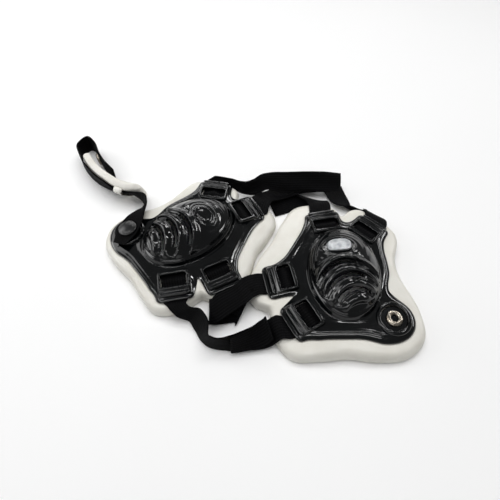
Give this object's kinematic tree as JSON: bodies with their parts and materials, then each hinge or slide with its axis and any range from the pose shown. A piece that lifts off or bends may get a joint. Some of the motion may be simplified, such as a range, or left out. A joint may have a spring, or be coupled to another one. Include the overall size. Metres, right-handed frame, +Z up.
{
  "type": "wrestling headgear",
  "caption": "Wrestling headgear lying pad down: ribbed black ear guards on thick pale foam pads, joined by black webbing straps, with a padded chin strap snapped on at one side.",
  "frame": {"origin": "centre of the lying headgear's outline, on the surface under the pads", "axes": "+X along the longer side of the lying headgear, from the chin strap side to the bare stud; +Z up, out of the domes"},
  "size_m": [0.3003, 0.226, 0.0408],
  "materials": {
    "coated_foam": "smooth vinyl skin",
    "black_shell": "glossy moulded",
    "black_webbing": "woven nylon",
    "nickel": "nickel plated",
    "badge": "bright satin",
    "black_cap": "black enamel",
    "chin_foam": "smooth vinyl skin"
  },
  "bodies": {
    "root": {"right_pad": "coated_foam", "right_shell": "black_shell", "right_stud": "nickel", "left_pad": "coated_foam", "left_shell": "black_shell", "left_stud": "nickel", "right_badge": "badge", "nape_strap": "black_webbing", "nape_tail": "black_webbing", "back_strap": "black_webbing", "crown_strap_left": "black_webbing", "crown_strap_right": "black_webbing", "brow_strap_left": "black_webbing", "brow_strap_right": "black_webbing", "chin_strap": "black_webbing", "chin_pad": "chin_foam", "chin_cap": "black_cap", "chin_socket": "nickel"}
  },
  "joints": []
}
